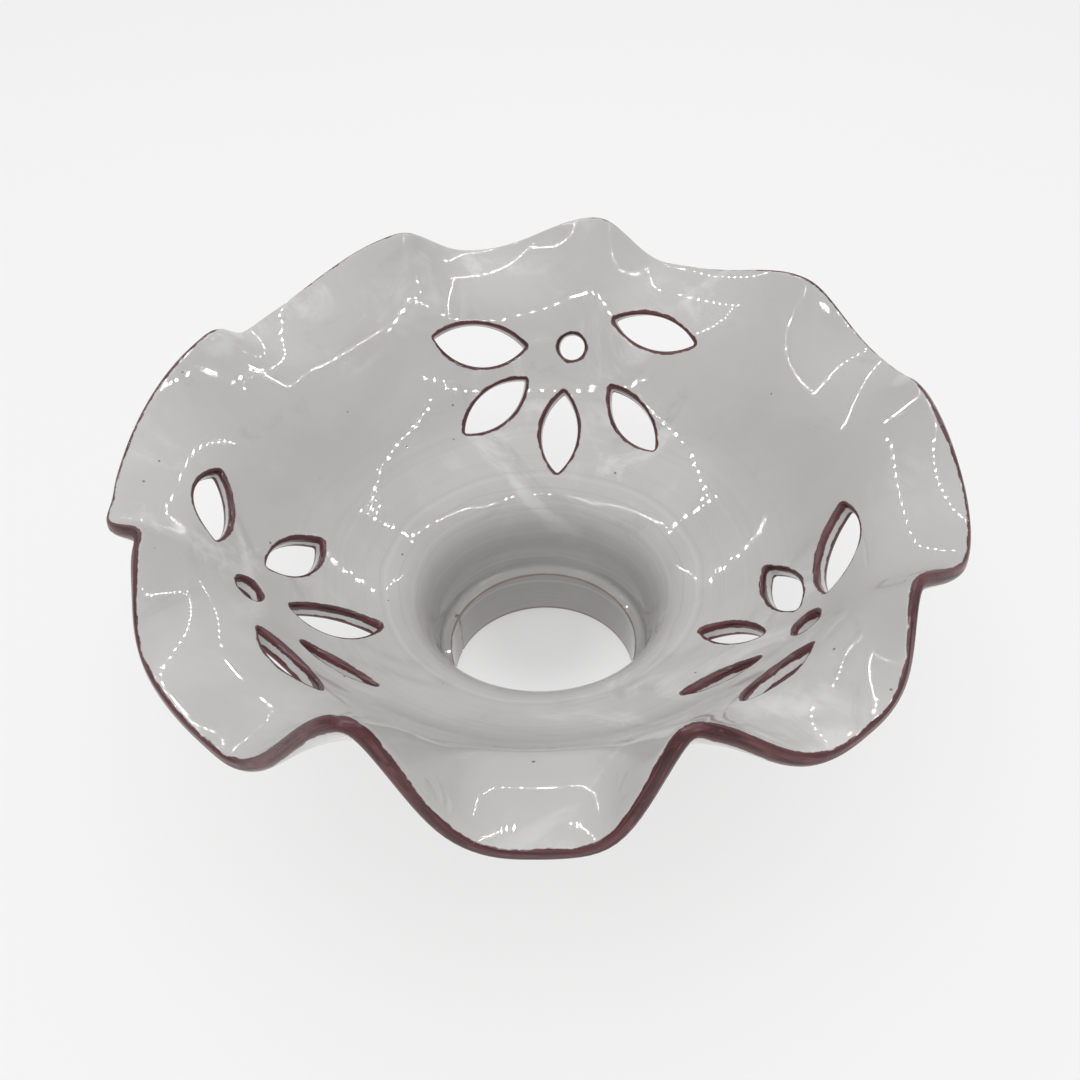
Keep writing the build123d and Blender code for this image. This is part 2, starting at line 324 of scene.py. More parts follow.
def usual_profile():
    """Meridian half-way between a usual lobe and a usual pinch."""
    edge = np.array(BODY[-1])
    rows = list(BODY)
    for lobe_part, pinch_part in zip(LOBE_RISE, PINCH_RISE):
        lobe = np.array(lobe_part) * (np.array(USUAL_LOBE_RIM) - edge)
        pinch = np.array(pinch_part) * (np.array(USUAL_PINCH_RIM) - edge)
        rows.append(tuple(edge + (lobe + pinch) / 2))
    return np.array(rows)


PROFILE = usual_profile()
CLIMB = np.concatenate([[0.0], np.cumsum(np.hypot(*np.diff(PROFILE, axis=0).T))])
CLIMB_RIM = CLIMB[-1]
CLIMB_BAND = CLIMB[-2]


def spline_bends(knots):
    """Matrix from knot values to second derivatives of the natural cubic through them."""
    count = len(knots)
    gaps = np.diff(knots)
    left, right = np.eye(count), np.zeros((count, count))
    for k in range(1, count - 1):
        left[k, k - 1:k + 2] = gaps[k - 1], 2 * (gaps[k - 1] + gaps[k]), gaps[k]
        right[k, k - 1:k + 2] = 6 / gaps[k - 1], -6 / gaps[k - 1] - 6 / gaps[k], 6 / gaps[k]
    return np.linalg.solve(left, right)


def spline_weights(knots, bends, at):
    """Weight of every knot value in the natural cubic at each position."""
    at = np.clip(at, knots[0], knots[-1])
    low = np.clip(np.searchsorted(knots, at, side="right") - 1, 0, len(knots) - 2)
    gap = (knots[low + 1] - knots[low])[..., None]
    up = (at - knots[low])[..., None] / gap
    down = 1 - up
    pick = np.eye(len(knots))
    curved = (down**3 - down) * bends[low] + (up**3 - up) * bends[low + 1]
    return down * pick[low] + up * pick[low + 1] + curved * gap**2 / 6


CLIMB_BENDS = spline_bends(CLIMB)


def round_bends(values):
    """Second derivatives, per step squared, of the closed cubic through evenly spaced values."""
    count = len(values)
    ones = np.eye(count)
    left = 4 * ones + np.roll(ones, 1, axis=0) + np.roll(ones, -1, axis=0)
    sides = np.roll(values, -1, axis=0) - 2 * values + np.roll(values, 1, axis=0)
    return np.linalg.solve(left, 6 * sides.reshape(count, -1)).reshape(values.shape)


RING_AZIMUTHS = np.arange(RING_POINTS) * 360.0 / RING_POINTS
RING_TABLE = [station_points(side, RING_AZIMUTHS) for side in (INNER, OUTER)]
RING_BENDS = [round_bends(table) for table in RING_TABLE]


def ring_points(side, azimuth):
    """Station points of a face at any azimuth, along the closed curves through its rings."""
    steps = azimuth * RING_POINTS / 360.0
    low = np.floor(steps).astype(int)
    up = (steps - low)[..., None, None]
    down = 1 - up
    here, after = low % RING_POINTS, (low + 1) % RING_POINTS
    table, bends = RING_TABLE[side], RING_BENDS[side]
    curved = (down**3 - down) * bends[here] + (up**3 - up) * bends[after]
    return down * table[here] + up * table[after] + curved / 6


def face_point(side, climb, azimuth):
    """Point of a face at a distance climbed up the meridian from the collar joint."""
    climb, azimuth = np.broadcast_arrays(np.asarray(climb, float), np.asarray(azimuth, float))
    weights = spline_weights(CLIMB, CLIMB_BENDS, climb)
    return np.einsum("...k,...kc->...c", weights, ring_points(side, azimuth))


def face_normal(side, climb, azimuth):
    """Unit normal of a face, pointing away from the neck's axis."""
    low = np.maximum(climb - NORMAL_STEP, 0)
    high = np.minimum(climb + NORMAL_STEP, CLIMB_RIM)
    upward = face_point(side, high, azimuth) - face_point(side, low, azimuth)
    ahead = face_point(side, climb, azimuth + NORMAL_STEP)
    around = ahead - face_point(side, climb, azimuth - NORMAL_STEP)
    return unit(np.cross(around, upward))


# ---------------------------------------------------------------- cut-outs
def cut_place(radius, azimuth, turn):
    """Origin, x axis, y axis and normal of a cut-out's plane on the inner face."""
    edge = np.array(BODY[-1])
    rise = [edge + np.array(part) * (np.array(USUAL_LOBE_RIM) - edge) for part in LOBE_RISE]
    profile = np.array(BODY + [tuple(point) for point in rise])
    low = np.searchsorted(profile[:, 0], radius, side="right") - 1
    step = profile[low + 1] - profile[low]
    height = profile[low, 1] + step[1] * (radius - profile[low, 0]) / step[0]
    angle, turned = math.radians(azimuth), math.radians(turn)
    level = np.array([-math.sin(angle), math.cos(angle), 0.0])
    slope = unit(np.array([step[0] * math.cos(angle), step[0] * math.sin(angle), step[1]]))
    along = level * math.cos(turned) + slope * math.sin(turned)
    normal = np.cross(level, slope)
    origin = np.array([radius * math.cos(angle), radius * math.sin(angle), height])
    return origin, along, np.cross(normal, along), normal


class Cut:
    """One cut-out: two arcs through the wall, kept as their centres and radii in a plane."""

    def __init__(self, name, azimuth, radius, length, upper, lower, turn, inset):
        self.name = name
        self.origin, self.along, self.across, self.normal = cut_place(radius, azimuth, turn)
        self.guess = (np.interp(radius, PROFILE[:, 0], CLIMB), azimuth)
        upper_r = (length**2 / 4 + upper**2) / (2 * upper)
        lower_r = (length**2 / 4 + lower**2) / (2 * lower)
        self.upper_y, self.lower_y = upper - upper_r, lower_r - lower
        self.upper_r, self.lower_r = upper_r - inset, lower_r - inset
        tip_y = self.lower_r**2 - self.upper_r**2 + self.upper_y**2 - self.lower_y**2
        gap = self.upper_y - self.lower_y
        self.circle = abs(gap) < TINY
        tip_y = 0.0 if self.circle else tip_y / (2 * gap)
        tip_x = math.sqrt(max(self.upper_r**2 - (tip_y - self.upper_y) ** 2, 0.0))
        self.tips = np.array([(tip_x, tip_y), (-tip_x, tip_y)])
        self.round = inset - EDGE

    def distance(self, flat):
        """Distance outside the hole's edge of points in the plane; negative inside."""
        nearest = np.min([np.linalg.norm(flat - tip, axis=-1) for tip in self.tips], axis=0)
        inside = np.ones(flat.shape[:-1], bool)
        for centre_y, radius, other_y, other_r in (
                (self.upper_y, self.upper_r, self.lower_y, self.lower_r),
                (self.lower_y, self.lower_r, self.upper_y, self.upper_r)):
            away = flat - np.array([0.0, centre_y])
            reach = np.linalg.norm(away, axis=-1)
            inside &= reach < radius
            foot = np.array([0.0, centre_y]) + away / np.maximum(reach, TINY)[..., None] * radius
            past = np.linalg.norm(foot - np.array([0.0, other_y]), axis=-1) - other_r
            valid = past <= FLAT_NEAR
            nearest = np.where(valid, np.minimum(nearest, np.abs(reach - radius)), nearest)
        return np.where(inside, -nearest, nearest) - self.round

    def flatten(self, points):
        """Plane coordinates of points, looking along the cut."""
        offset = points - self.origin
        return np.stack([offset @ self.along, offset @ self.across], -1)

    def ring(self, outset):
        """Closed outline at a distance outside the hole's edge, in the plane."""
        grown = self.round + outset
        per_tip = 0 if self.circle else TIP_POINTS
        right = math.atan2(self.tips[0, 0], self.tips[0, 1] - self.upper_y)
        bottom = math.atan2(self.tips[0, 0], self.tips[0, 1] - self.lower_y)
        full = 2 * math.pi
        rows = []
        for centre, reach, start, end, count in (
                ((0.0, self.upper_y), self.upper_r + grown, -right, right, ARC_POINTS),
                (self.tips[0], grown, right, bottom, per_tip),
                ((0.0, self.lower_y), self.lower_r + grown, bottom, full - bottom, ARC_POINTS),
                (self.tips[1], grown, full - bottom, full - right, per_tip)):
            sweep = np.linspace(start, end, count, endpoint=False)
            rows.append(np.array(centre) + reach * np.stack([np.sin(sweep), np.cos(sweep)], -1))
        return np.concatenate(rows)

    def on_face(self, side, flat):
        """Climb and azimuth where lines through plane points, along the cut, meet a face."""
        starts = self.origin + flat[:, :1] * self.along + flat[:, 1:] * self.across
        climb = np.full(len(flat), self.guess[0])
        azimuth = np.degrees(np.arctan2(starts[:, 1], starts[:, 0]))
        azimuth = self.guess[1] + (azimuth - self.guess[1] + 180) % 360 - 180
        far = np.zeros(len(flat))
        for _ in range(MEET_ROUNDS):
            here = face_point(side, climb, azimuth)
            miss = here - starts - far[:, None] * self.normal
            slopes = [-self.normal + np.zeros(here.shape)]
            for up, round_ in ((0.0, SLOPE_STEP), (SLOPE_STEP, 0.0)):
                ahead = face_point(side, climb + up, azimuth + round_)
                behind = face_point(side, climb - up, azimuth - round_)
                slopes.insert(0, (ahead - behind) / (2 * SLOPE_STEP))
            move = np.linalg.solve(np.stack(slopes, -1), -miss[..., None])[..., 0]
            step = np.clip(move[:, :2], -MEET_MOST, MEET_MOST)
            climb = np.clip(climb + step[:, 0], MEET_RIM, CLIMB_RIM - MEET_RIM)
            azimuth = azimuth + step[:, 1]
            far = far + move[:, 2]
        return climb, azimuth


def flower_cuts():
    """Cuts of each flower, eye first."""
    flowers = []
    for number, (azimuth, eye_r, eye_width, petals) in enumerate(FLOWERS, start=1):
        half = eye_width / 2
        eye_name, eye_inset = f"flower_{number}_eye_edge", EDGE + EYE_ROUND
        cuts = [Cut(eye_name, azimuth, eye_r, eye_width, half, half, 0.0, eye_inset)]
        for petal, (offset, *leaf) in enumerate(petals, start=1):
            name = f"flower_{number}_petal_{petal}_edge"
            cuts.append(Cut(name, azimuth + offset, *leaf, EDGE + TIP_ROUND))
        flowers.append(cuts)
    return flowers


# ---------------------------------------------------------------- shared vertices
class Skin:
    """Vertices shared by every clay piece, with what the glaze needs to know about each."""

    def __init__(self):
        self.points, self.brush, self.climb, self.bare = [], [], [], []
        self.count = 0
        self.faces = {}

    def add(self, points, brush, climb, bare=FAR):
        """Stores vertices and returns their numbers, in the shape they came in."""
        flat = np.asarray(points).reshape(-1, 3)
        shape = np.asarray(points).shape[:-1]
        self.points.append(flat)
        for store, value in ((self.brush, brush), (self.climb, climb), (self.bare, bare)):
            store.append(np.broadcast_to(np.asarray(value, float), shape).reshape(-1))
        ids = np.arange(self.count, self.count + len(flat)).reshape(shape)
        self.count += len(flat)
        return ids

    def give(self, piece, faces):
        self.faces.setdefault(piece, []).append(np.asarray(faces).reshape(-1, np.shape(faces)[-1]))

    def joined(self):
        stores = self.points, self.brush, self.climb, self.bare
        return [np.concatenate(store) for store in stores]


def quads(ids, flip, closed=True):
    """Faces between the rows of a grid of vertex numbers, closed round its columns."""
    following = np.roll(ids, -1, axis=1) if closed else ids[:, 1:]
    here = ids if closed else ids[:, :-1]
    faces = np.stack([here[:-1], following[:-1], following[1:], here[1:]], -1)
    return faces[..., ::-1] if flip else faces


AZIMUTHS = np.arange(COLUMNS) * 360.0 / COLUMNS
ROWS = int(round(CLIMB_BAND / ROW_STEP)) + 1
ROW_CLIMBS = np.linspace(0.0, CLIMB_BAND, ROWS)
SCALE_AZ = 1.5      # millimetres of face per degree of azimuth, for the flat triangulation
RIM_BRUSH = {INNER: RIM_BRUSH_ON_FACE, OUTER: 0.0}


def rounding(distance):
    """How deep the rounded corner lies under the face, at a distance from a cut edge."""
    short = np.clip(CORNER - distance, 0, CORNER)
    return CORNER - np.sqrt(CORNER**2 - short**2)


def rim_wear(azimuth):
    """Extra brush distance where the colour on the rim is worn or thinly brushed."""
    away = (azimuth - WORN_AZ + 180) % 360 - 180
    return WORN_MOST * np.exp(-((away / WORN_SPREAD) ** 2))


def rim_fade(side, climb, azimuth):
    """Brush distance of face points from the coloured rim."""
    return CLIMB_BAND - climb + BAND_WIDTH + RIM_BRUSH[side] + rim_wear(azimuth)


def face_vertices(skin, side, climb, azimuth, distance):
    """Face vertices, sunk near cut edges, with their brush distance."""
    into = 1.0 if side == INNER else -1.0
    points = face_point(side, climb, azimuth)
    points = points + face_normal(side, climb, azimuth) * (rounding(distance) * into)[..., None]
    brush = np.minimum(np.abs(distance - BRUSH_ON_FACE), rim_fade(side, climb, azimuth))
    brush = np.minimum(brush, FAR)
    return skin.add(points, brush, climb + OUTSIDE_CLIMB * side)


def patch_box(rings):
    """First and last row and column of the grid rectangle round a flower."""
    spans = []
    for values, step in zip(zip(*rings), (ROW_CLIMBS[1], 360.0 / COLUMNS)):
        steps = np.concatenate(values) // step
        spans.append((int(steps.min()) - PATCH_MARGIN, int(steps.max()) + PATCH_MARGIN + 1))
    return spans


def triangulate(coords, loops):
    """Constrained triangles through flat points; gives triangles and any added points."""
    edges = [(a, b) for loop in loops for a, b in zip(loop, np.roll(loop, -1))]
    flat = [Vector((float(x), float(y))) for x, y in coords]
    made = geometry.delaunay_2d_cdt(flat, edges, [], 0, FLAT_NEAR, True)
    source = [origin[0] if origin else -1 for origin in made[3]]
    added = [(number, made[0][number]) for number, origin in enumerate(source) if origin < 0]
    return np.array(made[2]), np.array(source), added


def patch(skin, side, cuts, grid, rows, cols, rings):
    """Fills a flower's rectangle on one face, and returns each cut's edge vertices."""
    row_ids, col_ids = np.arange(rows[0], rows[1] + 1), np.arange(cols[0], cols[1] + 1)
    climb, azimuth = np.meshgrid(ROW_CLIMBS[row_ids], col_ids * 360.0 / COLUMNS, indexing="ij")
    points = face_point(side, climb, azimuth)
    gaps = np.min([cut.distance(cut.flatten(points)) for cut in cuts], axis=0)
    border = np.zeros(gaps.shape, bool)
    border[[0, -1], :] = True
    border[:, [0, -1]] = True
    keep = (gaps > FACE_RINGS[-1] + GRID_CLEAR) | border
    numbers = list(grid[row_ids[:, None], col_ids[None, :] % COLUMNS][keep])
    coords = list(np.stack([azimuth[keep] * SCALE_AZ, climb[keep]], -1))
    loops, edge_ids = [], {}
    for cut in cuts:
        for outset in FACE_RINGS:
            ring_climb, ring_azimuth = rings[(cut.name, outset)]
            outline = face_point(side, ring_climb, ring_azimuth)
            wanted = np.ones(len(ring_climb), bool)
            if outset > EDGE:
                others = [other for other in cuts if other is not cut]
                gaps = [other.distance(other.flatten(outline)) for other in others]
                wanted = np.min(gaps, axis=0) > FACE_RINGS[-1] + RING_CLEAR
            ids = face_vertices(skin, side, ring_climb[wanted], ring_azimuth[wanted],
                                np.full(wanted.sum(), outset))
            if outset <= EDGE:
                loops.append(np.arange(len(numbers), len(numbers) + len(ids)))
            if outset == 0.0:
                edge_ids[cut.name] = ids
            numbers.extend(ids)
            coords.extend(np.stack([ring_azimuth[wanted] * SCALE_AZ, ring_climb[wanted]], -1))
    triangles, source, added = triangulate(np.array(coords), loops)
    ids = np.array(numbers)[np.maximum(source, 0)]
    flat = np.array(coords)[np.maximum(source, 0)]
    for number, place in added:
        spot = np.array([place.y]), np.array([place.x / SCALE_AZ])
        gap = np.min([cut.distance(cut.flatten(face_point(side, *spot))) for cut in cuts], axis=0)
        ids[number] = face_vertices(skin, side, *spot, gap)[0]
        flat[number] = place
    middle = flat[triangles].mean(axis=1)
    spots = face_point(side, middle[:, 1], middle[:, 0] / SCALE_AZ)
    gaps = np.array([cut.distance(cut.flatten(spots)) for cut in cuts])
    open_ = (gaps < 0).any(axis=0)
    owner = np.where(gaps.min(axis=0) < EDGE, gaps.argmin(axis=0), -1)
    triangles = ids[triangles]
    if side == INNER:
        triangles = triangles[:, ::-1]
    for number, cut in enumerate(cuts):
        skin.give(cut.name, triangles[~open_ & (owner == number)])
    skin.give("bowl", triangles[~open_ & (owner < 0)])
    return edge_ids


def cut_wall(skin, cut, inner_ids, outer_ids):
    """The cut's wall, from the rounded inner edge to the rounded outer edge."""
    points = np.concatenate(skin.points)
    start, end = points[inner_ids], points[outer_ids]
    shares = np.linspace(0, 1, WALL_ROWS + 2)[1:-1, None]
    length = np.linalg.norm(end - start, axis=-1)
    inner_side = shares * length + BRUSH_ON_FACE
    outer_side = (1 - shares) * length + BRUSH_ON_BACK
    rows = start + shares[..., None] * (end - start)
    ids = skin.add(rows, np.minimum(inner_side, outer_side), cut.guess[0])
    skin.give(cut.name, quads(np.concatenate([inner_ids[None], ids, outer_ids[None]]), False))


def build_bowl(skin):
    """Both faces of the bowl and the walls of its cut-outs; gives the grid of each face."""
    flowers = flower_cuts()
    climb, azimuth = np.meshgrid(ROW_CLIMBS, AZIMUTHS, indexing="ij")
    grids, boxes, rings = {}, {}, {}
    for side in (INNER, OUTER):
        brush = np.minimum(rim_fade(side, climb, azimuth), FAR)
        points = face_point(side, climb, azimuth)
        grids[side] = skin.add(points, brush, climb + OUTSIDE_CLIMB * side)
    for number, cuts in enumerate(flowers):
        for side in (INNER, OUTER):
            rings[number, side] = {(cut.name, outset): cut.on_face(side, cut.ring(outset))
                                   for cut in cuts for outset in FACE_RINGS}
        everything = [*rings[number, INNER].values(), *rings[number, OUTER].values()]
        boxes[number] = patch_box(everything)
    for side in (INNER, OUTER):
        whole = np.ones((ROWS - 1, COLUMNS), bool)
        for rows, cols in boxes.values():
            whole[rows[0]:rows[1], np.arange(cols[0], cols[1]) % COLUMNS] = False
        skin.give("bowl", quads(grids[side], side == INNER)[whole])
    for number, cuts in enumerate(flowers):
        edges = {side: patch(skin, side, cuts, grids[side], *boxes[number], rings[number, side])
                 for side in (INNER, OUTER)}
        for cut in cuts:
            cut_wall(skin, cut, edges[INNER][cut.name], edges[OUTER][cut.name])
    return grids


def build_rim(skin, grids):
    """The rounded lip that joins the two faces."""
    rim = face_point(INNER, CLIMB_RIM, AZIMUTHS)
    down = unit(face_point(INNER, CLIMB_BAND, AZIMUTHS) - rim)
    wall = ring_points(OUTER, AZIMUTHS)[:, -1] - rim
    knots, drops = np.array(LIP_SECTION).T
    shares = np.linspace(knots[0], knots[-1], LIP_ROWS)
    below = spline_weights(knots, spline_bends(knots), shares) @ drops
    points = rim + down * below[:, None, None] + wall * shares[:, None, None]
    brush = np.where(shares < 0.5, RIM_BRUSH[INNER], RIM_BRUSH[OUTER])[:, None] + below[:, None]
    ids = skin.add(points, brush + rim_wear(AZIMUTHS), CLIMB_RIM)
    skin.give("rim_band", quads(np.concatenate([grids[INNER][-1:], ids, grids[OUTER][-1:]]), True))


def rounded(corners):
    """Rows of radius and height along a profile of (radius, height, corner rounding)."""
    rows = []
    for number, (radius, height, rounding_r) in enumerate(corners):
        here = np.array([radius, height])
        if rounding_r == 0 or number in (0, len(corners) - 1):
            rows.append(here)
            continue
        before = unit(np.array(corners[number - 1][:2]) - here) * rounding_r
        after = unit(np.array(corners[number + 1][:2]) - here) * rounding_r
        for share in np.linspace(0, 1, CORNER_ROWS):
            rows.append(here + before * (1 - share) ** 2 + after * share**2)
    return np.array(rows)


def turned(skin, rows, azimuths, side):
    """Grid of vertices turned from profile rows round the neck's axis."""
    profile = np.broadcast_to(rows, (len(azimuths),) + rows.shape)
    points = spun(profile, azimuths).swapaxes(0, 1)
    return skin.add(points, FAR, points[..., 2] - COLLAR_TOP_Z + OUTSIDE_CLIMB * side)


def build_collar(skin, grids):
    """The collar under the bowl, open behind the seat strip."""
    outside = rounded([(SEAT_R, 0.0, 0), (COLLAR_R, 0.0, FOOT_ROUND)]
                      + [(COLLAR_R, height, 0) for height in COLLAR_ROWS])
    ids = turned(skin, outside, AZIMUTHS, OUTER)
    skin.give("neck_collar", quads(np.concatenate([ids, grids[OUTER][:1]]), False))
    inside = np.array([(SEAT_R, 0.0)] + COLLAR_INSIDE)
    ids = turned(skin, inside, AZIMUTHS, INNER)
    skin.give("neck_collar", quads(np.concatenate([ids, grids[INNER][:1]]), True))


def build_seat(skin):
    """The clay strip lining the lower neck, with the groove where its ends meet."""
    edge = math.degrees(STRIP_JOINT_W / 2 / BORE_R)
    slope = math.degrees(JOINT_SLOPE / BORE_R)
    near_side = np.linspace(-edge, -edge + slope, JOINT_STEPS)
    far_side = np.linspace(edge - slope, edge, JOINT_STEPS)
    border = [-edge - JOINT_BORDER, 0.0, edge + JOINT_BORDER]
    around = np.arange(-180 + SEAT_STEP, 180, SEAT_STEP)
    around = around[np.abs(around) > edge + JOINT_CLEAR]
    offsets = np.sort(np.concatenate([around, near_side, far_side, border]))
    azimuths = STRIP_JOINT_AZ + offsets
    depth = STRIP_JOINT_DEPTH * np.clip((edge - np.abs(offsets)) / slope, 0, 1)
    ledge_r = BORE_R + SEAT_LEDGE
    rows = rounded([
        (SEAT_R, 0.0, 0), (ledge_r, 0.0, 0), (BORE_R, 0.0, SEAT_ROUND),
        *((BORE_R, height, 0) for height in BORE_ROWS),
        (BORE_R, SEAT_INNER_Z, SEAT_ROUND), (ledge_r, SEAT_INNER_Z + SEAT_LEDGE_RISE, 0),
        (SEAT_R - POOL_START, SEAT_OUTER_Z, GLAZE_POOL),
        (SEAT_R + POOL_END, SEAT_OUTER_Z + 2 * GLAZE_POOL, 0)])
    at_bore = np.clip((ledge_r - rows[:, 0]) / SEAT_LEDGE, 0, 1)
    profile = np.tile(rows, (len(azimuths), 1, 1))
    at_bore = at_bore * np.where(rows[:, 1] < JOINT_FILLED_Z, JOINT_FILLED, 1.0)
    profile[..., 0] += depth[:, None] * at_bore
    points = spun(profile, azimuths).swapaxes(0, 1)
    low = np.hypot(rows[:, 0] - BORE_R, rows[:, 1]) - BARE_BELOW
    high = np.hypot(rows[:, 0] - BORE_R, rows[:, 1] - SEAT_INNER_Z)
    bare = np.minimum(np.minimum(low, high), FAR)[:, None] + np.zeros(len(azimuths))
    ids = skin.add(points, FAR, points[..., 2] - COLLAR_TOP_Z, bare)
    skin.give("seat_ring", quads(ids, True))
    back = turned(skin, np.array([(SEAT_R, 0.0), (SEAT_R, SEAT_OUTER_Z)]), azimuths, INNER)
    skin.give("seat_ring", quads(back, False))


# ---------------------------------------------------------------- pieces
def vertex_normals(points, groups):
    """Normals of the whole skin, so that the pieces meet without a visible seam."""
    normals = np.zeros_like(points)
    for faces in groups:
        corners = points[faces]
        start = 1 if faces.shape[1] == 4 else 0
        facing = np.cross(corners[:, start + 1] - corners[:, 0], corners[:, -1] - corners[:, start])
        for column in range(faces.shape[1]):
            np.add.at(normals, faces[:, column], facing)
    return normals / np.maximum(np.linalg.norm(normals, axis=1, keepdims=True), TINY)


def make_piece(name, groups, stores, normals, material):
    """One object from its faces of the shared skin."""
    points, brush, climb, bare = stores
    used = np.unique(np.concatenate([faces.ravel() for faces in groups]))
    renumber = np.full(len(points), -1)
    renumber[used] = np.arange(len(used))
    place = np.array([AXIS_X, AXIS_Y, BASE_Z]) + points[used] * MM
    place = np.clip(place, cad_bounds[0], cad_bounds[1])
    faces = [face for group in groups for face in renumber[group].tolist()]
    mesh = bpy.data.meshes.new(name)
    mesh.from_pydata(place.tolist(), [], faces)
    for label, values in (("brush_mm", brush), ("climb_mm", climb), ("bare_mm", bare)):
        layer = mesh.attributes.new(label, "FLOAT", "POINT")
        layer.data.foreach_set("value", values[used].astype(np.float32))
    mesh.shade_smooth()
    mesh.normals_split_custom_set_from_vertices(normals[used].tolist())
    mesh.materials.append(material)
    piece = bpy.data.objects.new(name + "_glazed", mesh)
    bpy.context.scene.collection.objects.link(piece)
    return piece


# ---------------------------------------------------------------- materials
class Nodes:
    """Short-hand for building one node tree."""

    def __init__(self, tree):
        self.tree = tree
        tree.nodes.clear()

    def add(self, kind, settings=None, **inputs):
        node = self.tree.nodes.new(kind)
        for key, value in (settings or {}).items():
            setattr(node, key, value)
        for key, value in inputs.items():
            self.feed(node, key.replace("_", " "), value)
        return node

    def feed(self, node, key, value):
        numbered = key[0] == "i" and key[1:].isdigit()
        socket = node.inputs[int(key[1:]) if numbered else key]
        if isinstance(value, bpy.types.NodeSocket):
            self.tree.links.new(value, socket)
        else:
            socket.default_value = value

    def math(self, operation, first, second=0.0):
        return self.add("ShaderNodeMath", {"operation": operation}, i0=first, i1=second).outputs[0]

    def ramp(self, value, low, high, start=0.0, end=1.0):
        node = self.add("ShaderNodeMapRange", {"interpolation_type": "SMOOTHSTEP"},
                        i0=value, i1=low, i2=high, i3=start, i4=end)
        return node.outputs[0]

    def mix(self, share, first, second):
        node = self.add("ShaderNodeMix", {"data_type": "RGBA"})
        for index, value in ((0, share), (6, first), (7, second)):
            if isinstance(value, bpy.types.NodeSocket):
                self.tree.links.new(value, node.inputs[index])
            else:
                node.inputs[index].default_value = value
        return node.outputs[2]

    def noise(self, place, scale, detail=3.0, rough=0.55, warp=0.0):
        return self.add("ShaderNodeTexNoise", Vector=place, Scale=scale, Detail=detail,
                        Roughness=rough, Distortion=warp).outputs[0]

    def attribute(self, name):
        return self.add("ShaderNodeAttribute", {"attribute_name": name}).outputs["Fac"]

    def patches(self, place, pattern):
        """Share of a pattern, from nothing where it begins to one where it is full."""
        *texture, begins, full = pattern
        return self.ramp(self.noise(place, *texture), begins, full)

    def line_of(self, value):
        """Place on a line, so that a noise changes along one value only."""
        return self.add("ShaderNodeCombineXYZ", X=value).outputs[0]

    def times(self, first, second):
        return self.math("MULTIPLY", first, second)

    def plus(self, first, second):
        return self.math("ADD", first, second)

    def minus(self, first, second):
        return self.math("SUBTRACT", first, second)

    def swing(self, place, height, scale, *texture):
        """Noise swinging about zero, over a height."""
        return self.times(self.minus(self.noise(place, scale, *texture), 0.5), height)

    def finish(self, shader, material):
        """Joins the shader to the material's output."""
        out = self.add("ShaderNodeOutputMaterial")
        material.node_tree.links.new(shader.outputs[0], out.inputs[0])
        return material


def new_material(name):
    """Empty material and the short-hand for its nodes."""
    material = bpy.data.materials.new(name)
    material.use_nodes = True
    return material, Nodes(material.node_tree)


def tone(red, green, blue):
    """Scene colour of an ordinary 0 to 255 colour."""
    def straight(level):
        level = level / 255
        return level / 12.92 if level <= 0.04045 else ((level + 0.055) / 1.055) ** 2.4
    return (straight(red), straight(green), straight(blue), 1.0)


